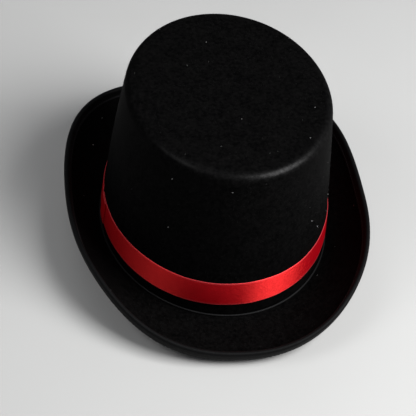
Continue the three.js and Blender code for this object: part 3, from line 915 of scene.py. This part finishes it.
# %% [markdown]
# ## The red band
#
# The ribbon is one length of satin drawn round the foot of the crown. Its end laps over its start at the
# wearer's left, so it is an open strip a little longer than one turn, whose last part climbs over the first.

# %% Band ribbon
RIBBON_WIDTH = 22 * MM
RIBBON_THICKNESS = 0.5 * MM
RIBBON_RISE_BACK = 2.1 * MM
RIBBON_RISE_RIGHT = 2.2 * MM
LAP_ANGLE = 2 * math.pi / 48
CLIMB_ANGLE = math.radians(3)
SELVEDGE = 0.55 * MM
RIBBON_SLACK = 0.1 * MM
RIBBON_WANDER = 0.15 * MM


def ribbon_rise(angle):
    """How far the ribbon sits above its mean line: it was put on a little higher at the back and right."""
    return RIBBON_RISE_BACK * np.sin(angle) - RIBBON_RISE_RIGHT * np.cos(angle)


def ribbon_wander(angle):
    """The small waviness that an edge laid by hand has."""
    return RIBBON_WANDER * np.sin(4 * angle + 0.5)


def make_band():
    angles = np.linspace(0, turn_round + LAP_ANGLE, ROUND_STEPS + 16)
    climb = np.clip((angles - turn_round + CLIMB_ANGLE) / CLIMB_ANGLE, 0, 1)
    climb = climb * climb * (3 - 2 * climb) * (RIBBON_THICKNESS + CLEARANCE)
    heights, insets = slab_outline(RIBBON_LOW, RIBBON_LOW + RIBBON_WIDTH, 0, RIBBON_THICKNESS, 16)
    outside = CLEARANCE + RIBBON_THICKNESS + climb
    slack = RIBBON_SLACK * (1 + np.sin(23 * angles)) * 0.5
    insets = insets[None, :] - outside[:, None] - slack[:, None]
    lift = ribbon_rise(angles) + ribbon_wander(angles)
    places = crown_points(angles[:, None], heights[None, :] + lift[:, None], insets)
    return loft("band_ribbon_satin", shaped_by_hand(places), False)


def selvedge_share(points):
    angle = np.arctan2(points[:, 1] / (BASE_HALF_WIDTH + EXTRA_HALF_LENGTH), points[:, 0] / BASE_HALF_WIDTH)
    across = points[:, 2] - RIBBON_LOW - ribbon_rise(angle) - ribbon_wander(angle)
    from_edge = np.minimum(across, RIBBON_WIDTH - across)
    return np.clip(1.2 - from_edge / SELVEDGE, 0, 1)


band = made(make_band(), RED_SATIN, "red_satin", "band_ribbon")
mark(band, "selvedge", selvedge_share)

# %% [markdown]
# ## The sweatband and its bow
#
# The sweatband is a strip of thin leather with a reed in its lower edge. Its ends meet at the back under a
# tape, and a small satin bow marks that place. The bow's loops are flat ribbons that stand on their edges,
# and its tails hang below them.

# %% Sweatband
SWEATBAND = 0.9 * MM
SEAM_TAPE = 0.4 * MM
SEAM_TAPE_HALF_WIDTH = 5 * MM
REED_RADIUS = 0.8 * MM
INSET_SEAM_TAPE = INSET_SWEATBAND + SWEATBAND + CLEARANCE
sweatband = wall_layer("sweatband_leather", *heights_of("sweatband"), INSET_SWEATBAND, SWEATBAND, 14)
made(sweatband, LEATHER, "sweat_leather", "sweatband")


def sweatband_rod(name, first, last):
    steps = max(6, round((last - first) / turn_round * ROUND_STEPS))
    height = heights_of("sweatband")[0] - CLEARANCE - REED_RADIUS
    angles = np.linspace(first, last, steps)
    return wall_cord(name, INSET_SWEATBAND + SWEATBAND / 2, height, REED_RADIUS, angles, False)


made(sweatband_rod("sweatband_reed_cord", *OPEN_SPAN), CORD_BLACK, "grosgrain", "sweatband_reed")
made(sweatband_rod("sweatband_reed_ferrule", *FERRULE_SPAN), STEEL, "wire_steel", "sweatband_reed_joiner")


def make_seam_tape():
    low, high = heights_of("sweatband_seam_tape")
    heights, insets = slab_outline(low, high, INSET_SEAM_TAPE, SEAM_TAPE, 12)
    angles = BACK_ANGLE + np.linspace(-1, 1, 9) * SEAM_TAPE_HALF_WIDTH / BASE_HALF_WIDTH
    places = crown_points(angles[:, None], heights[None, :], insets[None, :])
    return loft("sweatband_join_tape", shaped_by_hand(places), False)


made(make_seam_tape(), GROSGRAIN, "grosgrain", "sweatband_seam_tape")


# %% Bow
BOW_RIBBON = 3 * MM
BOW_THICKNESS = 0.4 * MM
LOOP_START = 1.8 * MM
LOOP_HALF_LENGTH = 5 * MM
LOOP_HALF_DEPTH = 1.3 * MM
BOW_SWAY = 0.25 * MM


def bow_place():
    low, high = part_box("bow_knot")
    return np.array((low + high) / 2)


def bow_strip(name, path, across, is_loop):
    """A flat ribbon along a path, with its width along a fixed direction and rounded edges."""
    after = np.roll(path, -1, 0) if is_loop else np.concatenate([path[1:], path[-1:]])
    before = np.roll(path, 1, 0) if is_loop else np.concatenate([path[:1], path[:-1]])
    along = after - before
    along /= np.linalg.norm(along, axis=1, keepdims=True)
    wide = across - (along @ across)[:, None] * along
    wide /= np.linalg.norm(wide, axis=1, keepdims=True)
    through = np.cross(wide, along)
    half, rim = BOW_THICKNESS / 2, BOW_RIBBON / 2 - BOW_THICKNESS / 2
    turn = np.radians([90, 45, 0, -45, -90])
    outline = [(rim + half * math.cos(t), half * math.sin(t)) for t in turn]
    outline += [(-rim - half * math.cos(t), half * math.sin(t)) for t in turn[::-1]]
    sections = np.stack([path + a * wide + b * through for a, b in outline], axis=1)
    return loft(name, sections, is_loop)


def bow_loop_path(side):
    turn = np.linspace(0, turn_round, 40, endpoint=False)
    x = side * (LOOP_START + LOOP_HALF_LENGTH * (1 - np.cos(turn)))
    y = -LOOP_HALF_DEPTH * np.sin(turn)
    return bow_place() + np.stack([x, y, BOW_SWAY * np.sin(turn)], -1)


def bow_tail_path(side):
    share = np.linspace(0, 1, 14)
    x = side * (2 + 2.6 * share) * MM
    y = -BOW_SWAY * np.sin(np.pi * share)
    return bow_place() + np.stack([x, y, -(2.6 + 5.4 * share) * MM], -1)


def make_knot():
    bpy.ops.mesh.primitive_cube_add(size=1)
    knot = bpy.context.object
    knot.name = "bow_knot_satin"
    bevel = knot.modifiers.new("soften", "BEVEL")
    bevel.width, bevel.segments = 0.28, 5
    mesh = bpy.data.meshes.new_from_object(knot.evaluated_get(bpy.context.evaluated_depsgraph_get()))
    bpy.data.objects.remove(knot)
    low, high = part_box("bow_knot")
    size, middle = np.array(high - low), bow_place()
    for vertex in mesh.vertices:
        waist = 1 - 0.12 * math.cos(3 * vertex.co.z)
        vertex.co = Vector(middle + np.array(vertex.co) * size * np.array([waist, waist, 1]))
    mesh.shade_smooth()
    mesh.uv_layers.active.name = "cloth"
    return link_mesh("bow_knot_satin", mesh)


made(make_knot(), BLACK_SATIN, "black_satin", "bow_knot")
UPRIGHT = np.array([0.0, 0.0, 1.0])
for side, word in ((1, "left"), (-1, "right")):
    loop = bow_strip(f"bow_loop_{word}_satin", bow_loop_path(side), UPRIGHT, True)
    made(loop, BLACK_SATIN, "black_satin", f"bow_loop_{word}")
    tail = bow_strip(f"bow_tail_{word}_satin", bow_tail_path(side), np.array([1.0, 0.0, 0.3 * side]), False)
    made(tail, BLACK_SATIN, "black_satin", f"bow_tail_{word}")

# %% [markdown]
# ## Stitches
#
# Rows of stitches repeat one small shape along a line, which is what Geometry Nodes do best. The tree turns a
# line of edges into a curve, spaces points along it by the pitch, and sets a stitch on each one, turned along
# the line. A stitch is a sphere of a few dozen faces, drawn out. The tree ends in real geometry, so the
# result is made a plain mesh.

# %% The stitch tree
def geometry_tree(name, inputs):
    tree = bpy.data.node_groups.new(name, "GeometryNodeTree")
    tree.interface.new_socket("Geometry", in_out="INPUT", socket_type="NodeSocketGeometry")
    for label, kind, value in inputs:
        socket = tree.interface.new_socket(label, in_out="INPUT", socket_type=kind)
        if value is not None:
            socket.default_value = value
    tree.interface.new_socket("Geometry", in_out="OUTPUT", socket_type="NodeSocketGeometry")
    return tree, tree.nodes.new("NodeGroupInput"), tree.nodes.new("NodeGroupOutput")


def build_stitches():
    tree, given, out = geometry_tree("stitch row", [
        ("Pitch", VALUE, 3 * MM), ("Stitch Length", VALUE, 2.3 * MM), ("Thread", VALUE, 0.4 * MM),
        ("Thread Material", "NodeSocketMaterial", None)])
    line = node(tree, "GeometryNodeMeshToCurve", None, Mesh=given.outputs["Geometry"])
    spaced = node(tree, "GeometryNodeResampleCurve", {"mode": "LENGTH"},
                  Curve=line.outputs[0], Length=given.outputs["Pitch"])
    ball = node(tree, "GeometryNodeMeshUVSphere", None, Segments=8, Rings=5, Radius=0.5)
    thread = given.outputs["Thread"]
    size = node(tree, "ShaderNodeCombineXYZ", None, X=thread, Y=thread, Z=given.outputs["Stitch Length"])
    along = tree.nodes.new("GeometryNodeInputTangent")
    turned = node(tree, "FunctionNodeAlignRotationToVector", {"axis": "Z"}, Vector=along.outputs[0])
    placed = node(tree, "GeometryNodeInstanceOnPoints", None,
                  Points=spaced.outputs[0], Instance=ball.outputs[0],
                  Rotation=turned.outputs[0], Scale=size.outputs[0])
    real = node(tree, "GeometryNodeRealizeInstances", None, Geometry=placed.outputs[0])
    smooth = node(tree, "GeometryNodeSetShadeSmooth", None, Geometry=real.outputs[0])
    dyed = node(tree, "GeometryNodeSetMaterial", None,
                Geometry=smooth.outputs[0], Material=given.outputs["Thread Material"])
    tree.links.new(dyed.outputs[0], out.inputs[0])
    return tree


def grown(source, tree, settings, name):
    """The tree's result on a source object, as a plain mesh object."""
    modifier = source.modifiers.new("grow", "NODES")
    modifier.node_group = tree
    for socket in tree.interface.items_tree:
        if socket.in_out == "INPUT" and socket.name in settings:
            modifier[socket.identifier] = settings[socket.name]
    evaluated = source.evaluated_get(bpy.context.evaluated_depsgraph_get())
    mesh = bpy.data.meshes.new_from_object(evaluated)
    source.modifiers.remove(modifier)
    return link_mesh(name, mesh)


def stitch_row(name, points, pitch, length):
    """A closed row of stitches through the points, one every pitch."""
    count = len(points)
    edges = [(i, (i + 1) % count) for i in range(count)]
    mesh = bpy.data.meshes.new(name + "_line")
    mesh.from_pydata([tuple(point) for point in points], edges, [])
    source = link_mesh(name + "_line", mesh)
    settings = {"Pitch": pitch, "Stitch Length": length, "Thread": THREAD_WIDTH, "Thread Material": THREAD}
    row = grown(source, STITCHES, settings, name)
    bpy.data.objects.remove(source)
    return dressed(row, THREAD)


THREAD_WIDTH = 0.42 * MM
STITCHES = build_stitches()


# %% Stitch rows
def brim_row(along, depth):
    return shaped_by_hand(np.array([cut.points([along(cut)], np.array([depth]))[0] for cut in BRIM_CUTS]))


def wall_row(height, inset):
    return shaped_by_hand(crown_points(AROUND, height + 0 * AROUND, inset))


LEG_MARGIN = 1.3 * MM
SWEATBAND_MARGIN = 2.2 * MM
SEAT_MARGIN = 1.7 * MM


def leg_edge(cut):
    return cut.total - BINDING_LEG + LEG_MARGIN


binding_face = CLEARANCE + BINDING_THICKNESS
sweatband_foot = heights_of("sweatband")[0] + SWEATBAND_MARGIN
for name, points, pitch, length in (
    ("binding_stitches_inner", brim_row(leg_edge, -binding_face), 3.2, 2.5),
    ("binding_stitches_outer", brim_row(leg_edge, BRIM_THICKNESS + binding_face), 3.2, 2.5),
    ("sweatband_stitches", wall_row(sweatband_foot, INSET_SWEATBAND + SWEATBAND), 3.0, 2.3),
    ("seat_stitches", brim_row(lambda cut: SEAT_MARGIN, BRIM_THICKNESS), 3.4, 2.6),
):
    stitch_row(name, points, pitch * MM, length * MM)

# %% [markdown]
# ## The nap's fibres
#
# Felt has no hard outline: short fibres stand off it. A second tree scatters thin pointed fibres on the outer
# faces, lays each one over by a random lean, and keeps the seed fixed so every run is the same. Each
# fibre is a closed spike of four triangles.

# %% The fibre tree
def build_fibres():
    tree, given, out = geometry_tree("nap fibres", [
        ("Density", VALUE, 1000.0), ("Fibre Length", VALUE, 1.0 * MM), ("Fibre Radius", VALUE, 0.04 * MM),
        ("Lean", VALUE, 1.0), ("Seed", "NodeSocketInt", 7), ("Fibre Material", "NodeSocketMaterial", None)])
    share = node(tree, "GeometryNodeInputNamedAttribute", {"data_type": "FLOAT"}, Name="outside")
    density = maths(tree, "MULTIPLY", share.outputs[0], given.outputs["Density"])
    scattered = node(tree, "GeometryNodeDistributePointsOnFaces", {"distribute_method": "RANDOM"},
                     Mesh=given.outputs["Geometry"], Density=density, Seed=given.outputs["Seed"])
    spike = node(tree, "GeometryNodeMeshCone", None, Vertices=3, Side_Segments=1, Fill_Segments=1,
                 Radius_Top=0.0, Radius_Bottom=given.outputs["Fibre Radius"],
                 Depth=given.outputs["Fibre Length"])
    low = node(tree, "FunctionNodeRandomValue", {"data_type": "FLOAT_VECTOR"}, Seed=given.outputs["Seed"])
    low.inputs[0].default_value = (-1, -1, -3)
    low.inputs[1].default_value = (1, 1, 3)
    leant = node(tree, "ShaderNodeVectorMath", {"operation": "SCALE"},
                 n0=low.outputs[0], Scale=given.outputs["Lean"])
    lean = node(tree, "FunctionNodeEulerToRotation", None, Euler=leant.outputs[0])
    turned = node(tree, "FunctionNodeRotateRotation", {"rotation_space": "LOCAL"},
                  Rotation=scattered.outputs["Rotation"], Rotate_By=lean.outputs[0])
    next_seed = maths(tree, "ADD", given.outputs["Seed"], 1)
    size = node(tree, "FunctionNodeRandomValue", {"data_type": "FLOAT"}, Seed=next_seed)
    size.inputs[2].default_value = 0.5
    size.inputs[3].default_value = 1.2
    placed = node(tree, "GeometryNodeInstanceOnPoints", None,
                  Points=scattered.outputs[0], Instance=spike.outputs[0],
                  Rotation=turned.outputs[0], Scale=size.outputs[1])
    real = node(tree, "GeometryNodeRealizeInstances", None, Geometry=placed.outputs[0])
    dyed = node(tree, "GeometryNodeSetMaterial", None,
                Geometry=real.outputs[0], Material=given.outputs["Fibre Material"])
    tree.links.new(dyed.outputs[0], out.inputs[0])
    return tree


def make_fibre_material(name, dark, light):
    material, tree, shader, bump = start_material(name, 0.6, 0.1, 0.02, Specular_IOR_Level=0.12)
    tint = noise(tree, position_in_hat(tree), 700.0)
    colour = blend_colours(tree, remap(tree, tint, 0.35, 0.65, 0, 1), dark, light)
    feed(tree, shader, bump, colour, remap(tree, tint, 0.35, 0.65, 0.5, 0.75), tint)
    return material


FIBRES = build_fibres()
FIBRE = make_fibre_material("wool fibre", (0.0015, 0.0015, 0.0016), (0.014, 0.014, 0.014))
LINT = make_fibre_material("lint", (0.3, 0.3, 0.31), (0.6, 0.6, 0.58))


def mark_outside(piece, share_at):
    points = np.zeros(len(piece.data.vertices) * 3)
    normals = np.zeros(len(piece.data.vertices) * 3)
    piece.data.vertices.foreach_get("co", points)
    piece.data.vertices.foreach_get("normal", normals)
    attribute = piece.data.attributes.new("outside", "FLOAT", "POINT")
    share = share_at(points.reshape(-1, 3), normals.reshape(-1, 3))
    attribute.data.foreach_set("value", share.astype(np.float32))


def scattered_on(piece, name, density, length, radius, seed, material):
    """Fibres standing on the faces that `outside` marks, as one mesh."""
    settings = {"Density": density, "Fibre Length": length, "Fibre Radius": radius, "Lean": 1.15,
                "Seed": seed, "Fibre Material": material}
    return dressed(grown(piece, FIBRES, settings, name), material)


# %% Fibres on the crown and the brim
def crown_outside(points, normals):
    sideways = (points * np.array([1, 1, 0]) * normals).sum(1)
    away = sideways + (points[:, 2] - SEAT - 0.96 * CROWN_HEIGHT) * normals[:, 2] * 9
    ribbon_top = SEAT + RIBBON_LOW + RIBBON_WIDTH + ribbon_rise(np.arctan2(points[:, 1], points[:, 0]))
    clear_of_band = points[:, 2] > ribbon_top + 1 * MM
    return ((away > 0) & clear_of_band).astype(float)


def brim_outside(upwards):
    def share(points, normals):
        out = np.hypot(points[:, 0] / BASE_HALF_WIDTH, points[:, 1] / (BASE_HALF_WIDTH + EXTRA_HALF_LENGTH))
        return ((out > 1.04) & (normals[:, 2] * upwards > 0.1)).astype(float)
    return share


NAP_RADIUS = 0.035 * MM
mark_outside(crown_shell, crown_outside)
mark_outside(brim_top, brim_outside(1))
mark_outside(brim_under, brim_outside(-1))
for piece, name, density, length, seed in (
    (crown_shell, "crown_nap", 270000.0, 1.1 * MM, 7),
    (brim_top, "brim_nap_top", 300000.0, 0.9 * MM, 11),
    (brim_under, "brim_nap_under", 200000.0, 0.9 * MM, 13),
):
    scattered_on(piece, name, density, length, NAP_RADIUS, seed, FIBRE)

# %% [markdown]
# ## Lint
#
# Black felt picks up pale lint. The same tree scatters a few thicker, pale fibres, so few that each one is
# seen on its own.

# %% Lint
scattered_on(crown_shell, "crown_lint", 330.0, 1.4 * MM, 0.22 * MM, 23, LINT)
scattered_on(brim_top, "brim_lint", 330.0, 1.3 * MM, 0.2 * MM, 29, LINT)

# %% [markdown]
# ## Cloth that was cut flat
#
# The ribbon and the two lining pieces are sheets: they were cut flat and then drawn round the block. The size
# each
# was cut to is worked out and printed: the oval's length round, plus the ribbon's lap, times the width; for
# the tip, the oval's width and length.

# %% The sheets' flat sizes
def length_round(height, inset):
    ring = crown_points(AROUND, height + 0 * AROUND, inset)
    return float(np.linalg.norm(np.roll(ring, -1, 0) - ring, axis=1).sum())


lining_low, lining_high = heights_of("lining_side")
band_flat = (RIBBON_WIDTH, length_round(RIBBON_LOW, 0) + LAP_ANGLE * BASE_HALF_WIDTH)
lining_flat = (lining_high - lining_low, length_round(lining_low, INSET_LINING))
tip_half = TIP_HALF_WIDTH - INSET_LINING
tip_flat = (2 * tip_half, 2 * (tip_half + EXTRA_HALF_LENGTH))
flats = (band_flat, lining_flat, tip_flat)
print("flat sizes in mm:", [[round(side / MM) for side in flat] for flat in flats])

# %% [markdown]
# ## Floor and light
#
# Black felt needs strong, broad light to show its shape at all. The key light stands behind the hat and to
# its right, high up, so that it glances off the tip's edge and the satin. A dim fill and a pale floor do the
# rest.

# %% Stage
def area_light(name, turn, rise, distance, size, power):
    """A soft square light, aimed at the crown, placed by its turn from the back and its rise."""
    turn, rise = math.radians(turn), math.radians(rise)
    way = Vector((math.sin(turn) * math.cos(rise), math.cos(turn) * math.cos(rise), math.sin(rise)))
    target = Vector((0, 0, SEAT + CROWN_HEIGHT / 2))
    lamp = bpy.data.objects.new(name, bpy.data.lights.new(name, "AREA"))
    lamp.data.size = size
    lamp.data.energy = power
    lamp.location = target + way * distance
    lamp.rotation_euler = way.to_track_quat("Z", "Y").to_euler()
    bpy.context.scene.collection.objects.link(lamp)


def make_floor():
    bpy.ops.mesh.primitive_plane_add(size=8)
    floor = bpy.context.object
    floor.name = "floor"
    material = bpy.data.materials.new("pale floor")
    material.use_nodes = True
    tree = material.node_tree
    paint = noise(tree, tree.nodes.new("ShaderNodeTexCoord").outputs["Object"], 3.0)
    shader = tree.nodes["Principled BSDF"]
    colour = blend_colours(tree, paint, (0.36, 0.36, 0.355), (0.40, 0.40, 0.395))
    tree.links.new(colour, shader.inputs["Base Color"])
    shader.inputs["Roughness"].default_value = 0.7
    floor.data.materials.append(material)


make_floor()
area_light("key", -61, 45, 1.35, 0.86, 42)
area_light("top", 150, 62, 1.6, 0.8, 2)
area_light("fill", 76, 45, 1.6, 0.8, 9)

world = bpy.data.worlds.new("studio")
bpy.context.scene.world = world
world.use_nodes = True
world.node_tree.nodes["Background"].inputs["Color"].default_value = (0.9, 0.92, 1, 1)
world.node_tree.nodes["Background"].inputs["Strength"].default_value = 0.15
bpy.context.scene.view_settings.view_transform = "Standard"
